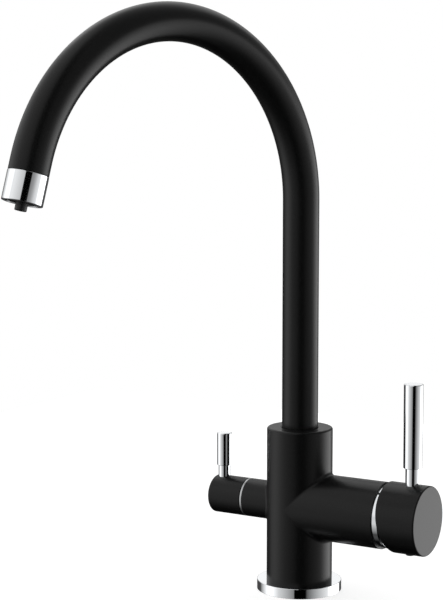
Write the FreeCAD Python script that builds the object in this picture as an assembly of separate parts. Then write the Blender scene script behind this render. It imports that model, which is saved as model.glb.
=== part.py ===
import FreeCAD, Part
import math
import os

from FreeCAD import Placement, Rotation, Vector

# Kitchen mixer tap with a second lever for filtered water. Millimetres, +Z up.
# The origin is the middle of the base, on the deck. The mixer arm points along +X, the
# filter arm along -X, and the front is -Y.

# Fits
fixed_clearance = 0.05
running_clearance = 0.08
thread_clearance = 0.1
moving_gap = 0.3

# Base, hose ports and stud hole
base_ring_height = 6.8
base_ring_overhang = 6.5
base_ring_edge = 0.3
gasket_width = 4.0
gasket_height = 1.8
stud_hole_radius = 3.35
stud_hole_depth = 14.0
stud_wall = 2.8
hose_port_radius = 4.46
hose_port_depth = 12.0
hose_port_wall = 1.9
hose_port_angle = 52.6

# Body casting
arm_height = 59.0
chamber_rise = 21.0
spout_bore_depth = 32.8
body_wall = 3.3
body_edge = 1.5
arm_blend = 2.5
bore_edge = 0.4
way_wall = 1.2
way_overrun = 0.6
supply_way_radius = 3.0
mixed_way_radius = 2.6
filter_way_radius = 2.3

# Cartridge, along the mixer arm
cartridge_diameter = 35.0
nut_thread_depth = 1.7
seat_stand_off = 13.5
inlet_port_radius = 2.4
inlet_port_rise = 5.0
inlet_port_spread = 6.0
outlet_port_radius = 3.2
outlet_port_drop = 7.0
port_seal_width = 1.5
port_seal_height = 1.4
cartridge_base_height = 5.0
housing_wall = 2.5
housing_neck_wall = 0.9
housing_lip = 2.8
housing_lip_height = 1.2
housing_proud = 0.5
fixed_disc_height = 4.0
moving_disc_height = 3.5
moving_disc_radius = 11.5
mixing_recess_radius = 7.6
mixing_recess_depth = 1.8
mixing_recess_drop = 4.5
carrier_height = 4.5
carrier_rim = 0.9
rotor_height = 11.2
pivot_rise = 5.2
pivot_pin_radius = 1.5
pivot_pin_inset = 1.0
stem_width = 8.0
stem_shank_radius = 1.7
stem_ball_radius = 2.4
stem_ball_clearance = 0.2
stem_ball_drop = 7.3
stem_square_drop = 3.0
flow_tilt = 25.0
nut_height = 5.0
nut_clearance = 0.2
nut_notch_width = 4.0
nut_notch_depth = 2.5
nut_notch_count = 4
housing_shoulder_depth = 7.3
cover_ring_step = 1.2
cover_ring_straight = 4.0
cover_ring_reach = 5.1
cover_skirt_wall = 1.8
cover_skirt_depth = 2.0

# Mixer handle cap and lever
cap_overhang = 0.9
cap_wall = 1.2
cap_deep_wall = 2.6
cap_end_wall = 4.0
cap_edge = 1.0
cap_rim_gap = 2.8
cap_rim_arc_radius = 124.0
cap_rim_arc_rise = 21.2
cap_end_reach = 31.4
cap_skirt_depth = 13.2
hub_radius = 8.5
hub_reach = 9.7
hub_socket_depth = 14.0
mixer_lever_reach = 19.7
mixer_stem_diameter = 9.6
mixer_stem_height = 11.2
mixer_grip_diameter = 12.5
mixer_grip_top_diameter = 12.9
mixer_grip_length = 56.0
mixer_tail_radius = 3.0
mixer_tail_length = 10.0
mixer_boss_radius = 7.0
grip_edge = 0.7
grub_reach = 18.7
grub_radius = 2.5
grub_length = 8.0
grub_socket = 2.5
grub_socket_depth = 3.0
grub_boss_radius = 5.5
plug_radius = 3.0
plug_depth = 5.0
plug_proud = 1.0

# Filter valve, along the filter arm
filter_seat_stand_off = 1.5
filter_bore_radius = 9.6
filter_arm_wall = 3.65
filter_bore_depth = 15.0
trim_ring_width = 1.4
valve_nose_wall = 1.8
valve_disc_radius = 6.12
valve_disc_height = 2.2
valve_port_radius = 1.8
valve_port_offset = 3.4
valve_nose_length = 9.0
valve_nose_gap = 2.0
seat_seal_overlap = 1.0
seat_seal_wall = 2.1
valve_window_width = 6.0
valve_window_height = 2.8
valve_hex_width = 19.0
valve_hex_height = 4.0
valve_neck_radius = 7.0
valve_neck_height = 4.6
spindle_radius = 4.2
spindle_flange_height = 3.4
drive_tang_width = 3.0
drive_tang_depth = 0.9
spindle_ring_section = 1.3
circlip_height = 0.9
circlip_width = 2.5
circlip_groove_depth = 0.8
circlip_opening = 5.0
spline_teeth = 20
spline_depth = 0.35
spline_length = 8.3

# Filter knob and lever
knob_gap = 0.2
knob_length = 26.2
knob_edge = 2.0
knob_start_edge = 0.5
knob_wall = 1.65
knob_cavity_depth = 10.0
filter_lever_reach = 21.4
filter_stem_diameter = 8.4
filter_stem_height = 7.6
filter_grip_diameter = 10.5
filter_grip_length = 23.0
filter_tail_radius = 2.5
filter_tail_length = 7.0
knob_grub_reach = 15.5
knob_grub_radius = 2.0
knob_grub_length = 5.0
knob_grub_socket = 2.0

# Spout
spout_diameter = 24.6
spout_wall = 1.4
spout_rise = 154.7
spout_bend_radius = 115.5
spout_bend_angle = 164.0
spout_tail = 7.6
spout_rest_angle = -105.02
spout_guide_clearance = 0.3
spout_insert = 9.0
glide_ring_height = 3.0
spigot_shoulder = 0.5
spigot_plug_height = 25.0
spigot_lift = 1.5
spigot_ring_section = 1.9
spigot_ring_spacing = 4.6
spigot_ring_start = 3.0
mixed_hole_count = 4
mixed_hole_radius = 1.9
retaining_groove_width = 5.4
retaining_groove_depth = 1.5
retaining_groove_below_top = 17.0
retaining_screw_radius = 2.5
retaining_screw_sink = 0.6
stub_radius = 3.97
stub_length = 11.5
stub_ring_section = 1.6
hose_radius = 4.0
hose_wall = 1.5
hose_nipple_length = 10.0
hose_nipple_wall = 0.85

# Outlet
adapter_plug_length = 8.0
adapter_thread_length = 6.5
adapter_thread_step = 0.25
adapter_wall = 2.3
tip_diameter = 24.8
tip_length = 17.85
tip_lip = 1.1
tip_lip_height = 1.5
tip_edge = 0.5
aerator_seal_height = 2.0
aerator_recess = 0.6
jet_radius = 0.85
inner_jet_count = 14
inner_jet_circle = 5.8
outer_jet_count = 20
outer_jet_circle = 8.1
nozzle_diameter = 7.3
nozzle_bore_radius = 2.2
nozzle_proud = 4.4
nozzle_flange_width = 0.95
nozzle_flange_height = 1.5
nozzle_edge = 0.4

# Directions
UP = Vector(0, 0, 1)
RIGHT = Vector(1, 0, 0)
LEFT = Vector(-1, 0, 0)
FRONT = Vector(0, -1, 0)
BACK = Vector(0, 1, 0)

# Base and body, worked out
base_spigot_radius = stud_hole_radius + stud_wall + 2 * hose_port_radius + hose_port_wall
hose_port_circle = base_spigot_radius - hose_port_wall - hose_port_radius
cartridge_radius = cartridge_diameter / 2
nut_thread_radius = cartridge_radius + nut_thread_depth
body_radius = nut_thread_radius + body_wall
base_ring_radius = body_radius + base_ring_overhang
gasket_circle = (base_spigot_radius + base_ring_radius) / 2
gasket_inner = gasket_circle - gasket_width / 2
gasket_outer = gasket_circle + gasket_width / 2
chamber_floor = arm_height + chamber_rise
body_top = chamber_floor + spout_bore_depth
filter_way_height = arm_height + filter_bore_radius - filter_way_radius - fixed_clearance

# Cartridge stack, as distances from the body's axis along the mixer arm
cartridge_seat = body_radius + seat_stand_off
base_end = cartridge_seat + cartridge_base_height
fixed_disc_end = base_end + fixed_disc_height
moving_disc_end = fixed_disc_end + moving_disc_height
carrier_end = moving_disc_end + carrier_height
rotor_start = carrier_end + moving_gap
rotor_end = rotor_start + rotor_height
pivot_reach = rotor_start + pivot_rise
housing_lip_start = rotor_end + thread_clearance
housing_end = housing_lip_start + housing_lip_height
housing_bore = cartridge_radius - housing_wall
housing_neck_radius = housing_bore + housing_neck_wall
mixer_arm_reach = housing_end - housing_proud
housing_shoulder = mixer_arm_reach - housing_shoulder_depth
nut_end = housing_shoulder + nut_height
nut_bore = housing_neck_radius + nut_clearance
stem_ball_reach = pivot_reach - stem_ball_drop
stem_square_start = pivot_reach - stem_square_drop
disc_travel = stem_ball_drop * math.sin(math.radians(flow_tilt))
disc_rest = -disc_travel / 2
carrier_radius = moving_disc_radius + carrier_rim
cover_ring_end = mixer_arm_reach + cover_ring_reach
cover_ring_radius = body_radius - cover_ring_step
cover_ring_dome = mixer_arm_reach + cover_ring_straight
cover_ring_sphere = math.hypot(cover_ring_dome - pivot_reach, cover_ring_radius)

# Mixer handle, as distances from the body's axis along the mixer arm
cap_radius = body_radius + cap_overhang
cap_bore = cap_radius - cap_wall
cap_rim = mixer_arm_reach + cap_rim_gap
cap_end = mixer_arm_reach + cap_end_reach
cap_skirt_end = mixer_arm_reach + cap_skirt_depth
cap_floor = cap_end - cap_end_wall
hub_start = mixer_arm_reach + hub_reach
stem_end = hub_start + hub_socket_depth - moving_gap
mixer_lever_place = mixer_arm_reach + mixer_lever_reach
mixer_stem_radius = mixer_stem_diameter / 2
mixer_stem_seat = math.sqrt(cap_radius**2 - mixer_stem_radius**2) - moving_gap
mixer_grip_start = cap_radius + mixer_stem_height
mixer_grip_end = mixer_grip_start + mixer_grip_length
grub_place = mixer_arm_reach + grub_reach
grub_start = stem_width / 2 + fixed_clearance
grub_end = grub_start + grub_length
plug_start = cap_radius - plug_depth

# Filter valve and knob, as distances from the body's axis along the filter arm
filter_seat = body_radius + filter_seat_stand_off
filter_arm_radius = filter_bore_radius + filter_arm_wall
filter_arm_reach = filter_seat + filter_bore_depth
trim_ring_end = filter_arm_reach + trim_ring_width
valve_nose_start = filter_seat + valve_nose_gap
valve_nose_end = valve_nose_start + valve_nose_length
valve_bore = valve_disc_radius + running_clearance
valve_nose_radius = valve_bore + valve_nose_wall
valve_thread_radius = filter_bore_radius - thread_clearance
seat_seal_end = valve_nose_start + seat_seal_overlap
filter_fixed_end = seat_seal_end + valve_disc_height
filter_moving_end = filter_fixed_end + valve_disc_height
spindle_flange_start = filter_moving_end + valve_window_height + moving_gap
spindle_flange_end = spindle_flange_start + spindle_flange_height
spindle_bore = spindle_radius + running_clearance
valve_hex_end = trim_ring_end + valve_hex_height
valve_neck_end = valve_hex_end + valve_neck_height
circlip_start = valve_neck_end + thread_clearance
circlip_end = circlip_start + circlip_height
circlip_floor = spindle_radius - circlip_groove_depth
spline_start = circlip_end + moving_gap
spline_end = spline_start + spline_length
spline_radius = spindle_radius - fixed_clearance
spindle_ring_place = (valve_hex_end + trim_ring_end) / 2
knob_start = trim_ring_end + knob_gap
knob_end = knob_start + knob_length
knob_cavity = filter_arm_radius - knob_wall
knob_cavity_end = knob_start + knob_cavity_depth
filter_lever_place = filter_arm_reach + filter_lever_reach
filter_stem_radius = filter_stem_diameter / 2
filter_stem_seat = math.sqrt(filter_arm_radius**2 - filter_stem_radius**2) - moving_gap
filter_grip_start = filter_arm_radius + filter_stem_height
filter_grip_end = filter_grip_start + filter_grip_length
knob_grub_place = filter_arm_reach + knob_grub_reach
knob_grub_start = spline_radius + fixed_clearance
knob_grub_end = knob_grub_start + knob_grub_length

# Spout, worked out
spout_radius = spout_diameter / 2
spout_bore = spout_radius - spout_wall
spout_bottom = body_top - spout_insert
spout_bend_start = body_top + spout_rise
spigot_radius = spout_bore + spigot_shoulder
seal_bore = spigot_radius + running_clearance
guide_bore = spout_radius + spout_guide_clearance
glide_ring_start = spout_bottom - glide_ring_height - fixed_clearance
spigot_bottom = chamber_floor + spigot_lift
spigot_top = spout_bottom + spigot_plug_height
spigot_groove_floor = spigot_radius - spigot_ring_section + thread_clearance
retaining_groove_place = body_top - retaining_groove_below_top
retaining_groove_floor = spigot_radius - retaining_groove_depth
stub_bore = stub_radius + running_clearance
stub_end = spigot_bottom - stub_length
stub_ring_place = (stub_end + chamber_floor) / 2
mixed_way_place = stub_bore + way_wall + mixed_way_radius
hose_bore = hose_radius - hose_wall
hose_nipple_radius = hose_bore - fixed_clearance
stub_passage = hose_nipple_radius - hose_nipple_wall
mixed_hole_circle = (hose_bore + spigot_groove_floor) / 2
nipple_top = spigot_top + hose_nipple_length

# Outlet, as distances along the tip from its seam with the tube
tip_radius = tip_diameter / 2
adapter_thread_radius = spout_bore + adapter_thread_step
adapter_bore = spout_bore - fixed_clearance - adapter_wall
tip_bore = adapter_thread_radius + thread_clearance
aerator_top = adapter_thread_length + aerator_seal_height
aerator_bottom = tip_length - tip_lip_height
nozzle_radius = nozzle_diameter / 2
nozzle_flange_start = aerator_top - nozzle_flange_height
hose_end = nozzle_flange_start - fixed_clearance

# Placing frames: a piece is drawn along +Z, with its upper side on +X
bend_turn = math.radians(spout_bend_angle)
tip_direction = Vector(math.sin(bend_turn), 0, math.cos(bend_turn))
bend_end = Vector(
    spout_bend_radius * (1 - math.cos(bend_turn)),
    0,
    spout_bend_start + spout_bend_radius * math.sin(bend_turn),
)
ARM_CENTRE = Vector(0, 0, arm_height)
MIXER_ARM = Placement(ARM_CENTRE, Rotation(UP, FRONT, RIGHT, "ZXY"))
FILTER_ARM = Placement(ARM_CENTRE, Rotation(UP, BACK, LEFT, "ZXY"))
SPOUT = Placement(Vector(), Rotation(UP, spout_rest_angle))
TIP = SPOUT * Placement(bend_end + tip_direction * spout_tail, Rotation(UP, tip_direction))


def placed(shape, frame):
    """Move a piece from its own drawing frame to its place on the tap."""
    return shape.transformed(frame.toMatrix(), True)


def rod(radius, start, end, x=0.0, y=0.0):
    """Round bar along Z."""
    return Part.makeCylinder(radius, end - start, Vector(x, y, start))


def ring(inner, outer, start, end, x=0.0, y=0.0):
    """Flat-ended ring along Z."""
    return rod(outer, start, end, x, y).cut(rod(inner, start, end, x, y))


def upright(radius, start, end, reach):
    """Round bar across the drawing axis, from start to end on the upper (+X) side."""
    return Part.makeCylinder(radius, end - start, Vector(start, 0, reach), RIGHT)


def downright(radius, start, end, reach):
    """Round bar across the drawing axis, from start to end on the under (-X) side."""
    return Part.makeCylinder(radius, end - start, Vector(-start, 0, reach), LEFT)


def block(width, depth, start, end):
    """Rectangular bar along Z, centred on the axis."""
    return Part.makeBox(width, depth, end - start, Vector(-width / 2, -depth / 2, start))


def o_ring(outer, section, place):
    """Round rubber ring about Z, given by its outer radius."""
    return Part.makeTorus(outer - section / 2, section / 2, Vector(0, 0, place), UP)


def prism(corners, start, end):
    """Straight bar along Z with a polygon section."""
    wire = Part.makePolygon([Vector(x, y, start) for x, y in corners + corners[:1]])
    return Part.Face(wire).extrude(UP * (end - start))


def hexagon(across_flats, start, end):
    """Hexagonal bar along Z."""
    corner = across_flats / math.sqrt(3)
    turns = [math.radians(60 * i) for i in range(6)]
    return prism([(corner * math.cos(t), corner * math.sin(t)) for t in turns], start, end)


def splined_bar(tip, root, start, end):
    """Bar along Z with pointed teeth round it."""
    corners = []
    for tooth in range(2 * spline_teeth):
        turn = math.pi * tooth / spline_teeth
        radius = root if tooth % 2 else tip
        corners.append((radius * math.cos(turn), radius * math.sin(turn)))
    return prism(corners, start, end)


def rounded(shape, fillet, radius, place):
    """Round the circular edges of one radius that lie at one place along Z."""
    rims = []
    for edge in shape.Edges:
        if edge.Degenerated:
            continue
        curve = edge.Curve
        if isinstance(curve, Part.Circle) and math.isclose(curve.Radius, radius, abs_tol=1e-4):
            if math.isclose(curve.Center.z, place, abs_tol=1e-4):
                rims.append(edge)
    return shape.makeFillet(fillet, rims)


def bent_rod(radius, bottom, tail):
    """Round bar on the spout's line: straight up, round the bend, then a straight tail."""
    riser = rod(radius, bottom, spout_bend_start)
    circle = Part.makeCircle(radius, Vector(0, 0, spout_bend_start))
    disc = Part.Face(Part.Wire(circle))
    bend = disc.revolve(Vector(spout_bend_radius, 0, spout_bend_start), BACK, spout_bend_angle)
    end = Part.makeCylinder(radius, tail, bend_end, tip_direction)
    return riser.fuse([bend, end]).removeSplitter()


def hose_port_places():
    """Hot, cold and filtered water inlets in the underside, as (x, y) points."""
    turns = [math.radians(turn) for turn in (hose_port_angle, -hose_port_angle, 180)]
    return [(hose_port_circle * math.cos(t), hose_port_circle * math.sin(t)) for t in turns]


def inlet_port_places():
    """Hot and cold ports of the cartridge, drawn along its own axis."""
    return [(inlet_port_rise, side * inlet_port_spread) for side in (1, -1)]


def cartridge_ports(start, end):
    """Bars through the cartridge's two inlet ports and its outlet port."""
    bars = [rod(inlet_port_radius, start, end, x, y) for x, y in inlet_port_places()]
    bars.append(rod(outlet_port_radius, start, end, -outlet_port_drop))
    return bars


def arm_joint_edges(casting):
    """Curved edges where the round arms meet the round column."""
    plain = (Part.Line, Part.LineSegment, Part.Circle)
    return [edge for edge in casting.Edges if not isinstance(edge.Curve, plain)]


def supply_ways():
    """Drillings from the hose ports to the two valve seats."""
    *mixer_ports, filter_port = hose_port_places()
    cuts = []
    inlet_top = arm_height + inlet_port_rise + inlet_port_radius + way_overrun
    for (x, y), (rise, spread) in zip(mixer_ports, inlet_port_places()):
        cuts.append(rod(supply_way_radius, 0, inlet_top, x, y))
        across = rod(inlet_port_radius, x, cartridge_seat + moving_gap, rise, -spread)
        cuts.append(placed(across, MIXER_ARM))
    filter_x, filter_y = filter_port
    filter_top = arm_height + supply_way_radius + way_overrun
    cuts.append(rod(supply_way_radius, 0, filter_top, filter_x, filter_y))
    across = rod(supply_way_radius, -filter_x, filter_seat + moving_gap)
    cuts.append(placed(across, FILTER_ARM))
    for x, y in hose_port_places():
        cuts.append(rod(hose_port_radius, 0, hose_port_depth, x, y))
    return cuts


def outlet_ways():
    """Drillings from the two valves to the spout's seal bore."""
    mixed = rod(mixed_way_radius, mixed_way_place, cartridge_seat + moving_gap, -outlet_port_drop)
    mixed_floor = arm_height - outlet_port_drop - mixed_way_radius - way_overrun
    mixed_riser = rod(mixed_way_radius, mixed_floor, chamber_floor + moving_gap, mixed_way_place)
    filtered = rod(filter_way_radius, 0, filter_seat + moving_gap, filter_way_height - arm_height)
    stub_floor = filter_way_height - filter_way_radius - way_overrun
    stub_hole = rod(stub_bore, stub_floor, chamber_floor + moving_gap)
    return [placed(mixed, MIXER_ARM), mixed_riser, placed(filtered, FILTER_ARM), stub_hole]


def body():
    """Cast body: upright column, two arms, bores for the spout and both valves."""
    column = rod(body_radius, base_ring_height, body_top)
    column = rounded(column, body_edge, body_radius, body_top)
    mixer_arm = placed(rod(body_radius, 0, mixer_arm_reach), MIXER_ARM)
    filter_arm = placed(rod(filter_arm_radius, 0, filter_arm_reach), FILTER_ARM)
    casting = column.fuse([mixer_arm, filter_arm]).removeSplitter()
    casting = casting.makeFillet(arm_blend, arm_joint_edges(casting))
    casting = casting.fuse(rod(base_spigot_radius, 0, base_ring_height))
    cartridge_bore = cartridge_radius + fixed_clearance
    cuts = [
        rod(stud_hole_radius, 0, stud_hole_depth),
        rod(seal_bore, chamber_floor, body_top),
        rod(guide_bore, glide_ring_start, body_top),
        placed(rod(cartridge_bore, cartridge_seat, mixer_arm_reach), MIXER_ARM),
        placed(rod(nut_thread_radius, housing_shoulder, mixer_arm_reach), MIXER_ARM),
        placed(rod(filter_bore_radius, filter_seat, filter_arm_reach), FILTER_ARM),
        retaining_screw_hole(),
    ]
    casting = casting.cut(cuts + supply_ways() + outlet_ways())
    return rounded(casting, bore_edge, guide_bore, body_top)


def base_ring():
    """Plated ring that the body stands on, with a groove for the gasket underneath."""
    blank = rod(base_ring_radius, 0, base_ring_height)
    blank = rounded(blank, base_ring_edge, base_ring_radius, base_ring_height)
    hole = rod(base_spigot_radius + fixed_clearance, 0, base_ring_height)
    groove = ring(gasket_inner, gasket_outer, 0, gasket_height)
    return blank.cut([hole, groove])


def base_gasket():
    """Rubber ring that seals the base to the deck."""
    side = fixed_clearance
    return ring(gasket_inner + side, gasket_outer - side, 0, gasket_height)


def retaining_screw_hole():
    """Tapped hole in the back of the body for the spout's retaining screw."""
    hole_radius = retaining_screw_radius + fixed_clearance
    centre = Vector(0, 0, retaining_groove_place)
    return Part.makeCylinder(hole_radius, body_radius, centre, BACK)


def spout_retaining_screw():
    """Grub screw whose nose runs in the spigot's groove."""
    nose = retaining_groove_floor + moving_gap
    tail = body_radius - retaining_screw_sink
    screw = rod(retaining_screw_radius, nose, tail)
    screw = screw.cut(hexagon(grub_socket, tail - grub_socket_depth, tail))
    frame = Placement(Vector(0, 0, retaining_groove_place), Rotation(UP, BACK))
    return placed(screw, frame)


def spout_glide_ring():
    """Plastic ring that the spout turns on."""
    outer = guide_bore - fixed_clearance
    return ring(seal_bore, outer, glide_ring_start, glide_ring_start + glide_ring_height)


def cartridge_base():
    """Foot of the cartridge, with its three ports and a seat round each for a seal."""
    foot = rod(cartridge_radius, cartridge_seat, base_end)
    seats = []
    for x, y, radius in port_seal_places():
        seat_radius = radius + port_seal_width + fixed_clearance
        seats.append(rod(seat_radius, cartridge_seat, cartridge_seat + port_seal_height, x, y))
    return foot.cut(seats + cartridge_ports(cartridge_seat, base_end))


def port_seal_places():
    """Centre and inner radius of each port seal."""
    seals = [(x, y, inlet_port_radius + fixed_clearance) for x, y in inlet_port_places()]
    return seals + [(-outlet_port_drop, 0.0, outlet_port_radius + fixed_clearance)]


def cartridge_port_seals():
    """Three rubber rings between the cartridge and its seat."""
    end = cartridge_seat + port_seal_height
    seals = []
    for x, y, radius in port_seal_places():
        seals.append(ring(radius, radius + port_seal_width, cartridge_seat, end, x, y))
    return Part.makeCompound(seals)


def cartridge_fixed_disc():
    """Ceramic disc with three ports, held still by the housing."""
    disc = rod(housing_bore - moving_gap, base_end, fixed_disc_end)
    return disc.cut(cartridge_ports(base_end, fixed_disc_end))


def cartridge_housing():
    """Shell of the cartridge, with a lip that keeps the rotor in."""
    shell = rod(cartridge_radius, base_end, housing_shoulder)
    shell = shell.fuse(rod(housing_neck_radius, housing_shoulder, housing_end))
    chamber = rod(housing_bore, base_end, housing_lip_start)
    mouth = rod(housing_bore - housing_lip, housing_lip_start, housing_end)
    return shell.cut([chamber, mouth])


def cartridge_nut():
    """Ring nut that clamps the cartridge, with notches for its key."""
    nut = ring(nut_bore, nut_thread_radius - thread_clearance, housing_shoulder, nut_end)
    notches = []
    for i in range(nut_notch_count):
        notch = block(2 * nut_thread_radius, nut_notch_width, nut_end - nut_notch_depth, nut_end)
        notch.rotate(Vector(), UP, 180 * i / nut_notch_count)
        notches.append(notch)
    return nut.cut(notches)


def cartridge_cover_ring():
    """Trim ring with a domed end: the dome is a ball about the lever's pivot, so the cap clears it."""
    dome = Part.makeSphere(cover_ring_sphere, Vector(0, 0, pivot_reach))
    dome = dome.common(rod(cover_ring_radius, mixer_arm_reach, cover_ring_end))
    skirt_radius = nut_thread_radius - fixed_clearance
    skirt_start = mixer_arm_reach - cover_skirt_depth
    dome = dome.fuse(rod(skirt_radius, skirt_start, mixer_arm_reach))
    return dome.cut(rod(skirt_radius - cover_skirt_wall, skirt_start, cover_ring_end))


def cartridge_rotor():
    """Turning guide with the slot that the stem tilts in and the hole for its pin."""
    guide = rod(housing_bore - running_clearance, rotor_start, rotor_end)
    slot_length = stem_width + 2 * rotor_height * math.tan(math.radians(flow_tilt))
    slot_width = stem_width + 2 * moving_gap
    slot = block(slot_length, slot_width, rotor_start, rotor_end)
    return guide.cut([slot, pivot_bar(pivot_pin_radius + fixed_clearance)])


def pivot_bar(radius):
    """Round bar across the cartridge on the tilting axis."""
    half = housing_bore - pivot_pin_inset
    return Part.makeCylinder(radius, 2 * half, Vector(0, -half, pivot_reach), BACK)


def cartridge_pivot_pin():
    """Steel pin that the stem tilts on."""
    return pivot_bar(pivot_pin_radius)


def cartridge_stem():
    """Square stem with a ball end that pushes the disc carrier."""
    square = block(stem_width, stem_width, stem_square_start, stem_end)
    shank = rod(stem_shank_radius, stem_ball_reach, stem_square_start)
    ball = Part.makeSphere(stem_ball_radius, Vector(0, 0, stem_ball_reach))
    stem = square.fuse([shank, ball]).removeSplitter()
    return stem.cut(pivot_bar(pivot_pin_radius + running_clearance))


def disc_carrier():
    """Plastic plate that carries the moving disc, with a pocket for the stem's ball."""
    plate = rod(carrier_radius, moving_disc_end, carrier_end, disc_rest)
    pocket = rod(stem_ball_radius + stem_ball_clearance, moving_disc_end, carrier_end)
    return plate.cut(pocket)


def cartridge_moving_disc():
    """Ceramic disc with the recess in which hot and cold water meet."""
    disc = rod(moving_disc_radius, fixed_disc_end, moving_disc_end, disc_rest)
    recess_end = fixed_disc_end + mixing_recess_depth
    return disc.cut(rod(mixing_recess_radius, fixed_disc_end, recess_end, -mixing_recess_drop))


def mixer_handle_cap():
    """Hollow cap on the stem: rim cut to an arc so that it can tilt, hub and two bosses inside."""
    start = mixer_arm_reach
    shell = rounded(rod(cap_radius, start, cap_end), cap_edge, cap_radius, cap_end)
    skirt = rod(cap_bore, start, cap_skirt_end)
    deep = rod(cap_radius - cap_deep_wall, cap_skirt_end, cap_floor)
    shell = shell.cut([skirt, deep])
    hub = rod(hub_radius, hub_start, cap_floor)
    inner = cap_radius - cap_deep_wall / 2
    lever_boss = upright(mixer_boss_radius, 0, inner, mixer_lever_place)
    grub_boss = downright(grub_boss_radius, 0, inner, grub_place)
    shell = shell.fuse([hub, lever_boss, grub_boss]).removeSplitter()
    socket_width = stem_width + 2 * fixed_clearance
    cuts = [
        block(socket_width, socket_width, hub_start, hub_start + hub_socket_depth),
        upright(mixer_stem_radius + fixed_clearance, mixer_stem_seat, cap_radius, mixer_lever_place),
        upright(mixer_tail_radius + fixed_clearance, mixer_stem_seat - mixer_tail_length - moving_gap,
                mixer_stem_seat, mixer_lever_place),
        downright(grub_radius + fixed_clearance, 0, plug_start, grub_place),
        downright(plug_radius + fixed_clearance, plug_start, cap_radius, grub_place),
    ]
    rim_centre = Vector(cap_rim_arc_rise, -cap_radius, cap_rim + cap_rim_arc_radius)
    rim_cutter = Part.makeCylinder(cap_rim_arc_radius, 2 * cap_radius, rim_centre, BACK)
    return shell.cut(cuts).common(rim_cutter)


def lever(sizes):
    """Turned lever: threaded tail, plain stem and a longer grip with rounded ends."""
    tail = rod(sizes["tail_radius"], sizes["seat"] - sizes["tail_length"], sizes["seat"])
    stem = rod(sizes["stem_radius"], sizes["seat"], sizes["grip_start"])
    length = sizes["grip_end"] - sizes["grip_start"]
    foot = Vector(0, 0, sizes["grip_start"])
    if math.isclose(sizes["grip_radius"], sizes["top_radius"]):
        grip = Part.makeCylinder(sizes["grip_radius"], length, foot)
    else:
        grip = Part.makeCone(sizes["grip_radius"], sizes["top_radius"], length, foot)
    grip = rounded(grip, grip_edge, sizes["top_radius"], sizes["grip_end"])
    bar = tail.fuse([stem, grip]).removeSplitter()
    frame = Placement(Vector(0, 0, sizes["place"]), Rotation(UP, RIGHT))
    return placed(bar, frame)


def mixer_lever():
    """Plated lever of the mixer, screwed into the cap."""
    return lever({
        "place": mixer_lever_place,
        "seat": mixer_stem_seat,
        "tail_radius": mixer_tail_radius,
        "tail_length": mixer_tail_length,
        "stem_radius": mixer_stem_radius,
        "grip_start": mixer_grip_start,
        "grip_end": mixer_grip_end,
        "grip_radius": mixer_grip_diameter / 2,
        "top_radius": mixer_grip_top_diameter / 2,
    })


def mixer_grub_screw():
    """Grub screw that clamps the cap to the stem."""
    screw = downright(grub_radius, grub_start, grub_end, grub_place)
    socket = hexagon(grub_socket, grub_end - grub_socket_depth, grub_end)
    frame = Placement(Vector(0, 0, grub_place), Rotation(UP, LEFT))
    return screw.cut(placed(socket, frame))


def mixer_screw_plug():
    """Plastic plug that hides the grub screw, under the cap."""
    end = cap_radius + plug_proud
    plug = rounded(rod(plug_radius, plug_start, end), plug_proud / 2, plug_radius, end)
    return placed(plug, Placement(Vector(0, 0, grub_place), Rotation(UP, LEFT)))


def filter_trim_ring():
    """Thin plated ring between the filter arm and its knob."""
    return ring(filter_bore_radius, filter_arm_radius, filter_arm_reach, trim_ring_end)


def filter_valve_body():
    """Headwork of the filter valve: windowed nose, thread, hexagon and neck."""
    nose = rod(valve_nose_radius, valve_nose_start, valve_nose_end)
    thread = rod(valve_thread_radius, valve_nose_end, trim_ring_end)
    hexagon_head = hexagon(valve_hex_width, trim_ring_end, valve_hex_end)
    neck = rod(valve_neck_radius, valve_hex_end, valve_neck_end)
    work = nose.fuse([thread, hexagon_head, neck]).removeSplitter()
    flange_end = spindle_flange_end + moving_gap
    window_end = filter_moving_end + valve_window_height
    window = block(2 * valve_nose_radius, valve_window_width, filter_moving_end, window_end)
    chamber = rod(valve_bore, valve_nose_start, flange_end)
    return work.cut([chamber, rod(spindle_bore, flange_end, valve_neck_end), window])


def filter_seat_seal():
    """Rubber ring that seals the filter valve to its seat."""
    outer = valve_disc_radius
    return ring(outer - seat_seal_wall, outer, filter_seat, seat_seal_end)


def valve_ports(start, end, turn):
    """Two bars through a valve disc, on opposite sides of its axis."""
    bars = []
    for side in (1, -1):
        bar = rod(valve_port_radius, start, end, side * valve_port_offset)
        bar.rotate(Vector(), UP, turn)
        bars.append(bar)
    return bars


def filter_fixed_disc():
    """Ceramic disc with two ports, held still by the valve body."""
    disc = rod(valve_disc_radius, seat_seal_end, filter_fixed_end)
    return disc.cut(valve_ports(seat_seal_end, filter_fixed_end, 0))


def filter_moving_disc():
    """Ceramic disc that closes the ports at rest and opens them after a quarter turn."""
    disc = rod(valve_disc_radius, filter_fixed_end, filter_moving_end)
    slot_width = drive_tang_width + 2 * fixed_clearance
    slot = block(2 * valve_disc_radius, slot_width, filter_moving_end - drive_tang_depth, filter_moving_end)
    return disc.cut(valve_ports(filter_fixed_end, filter_moving_end, 90) + [slot])


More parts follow.
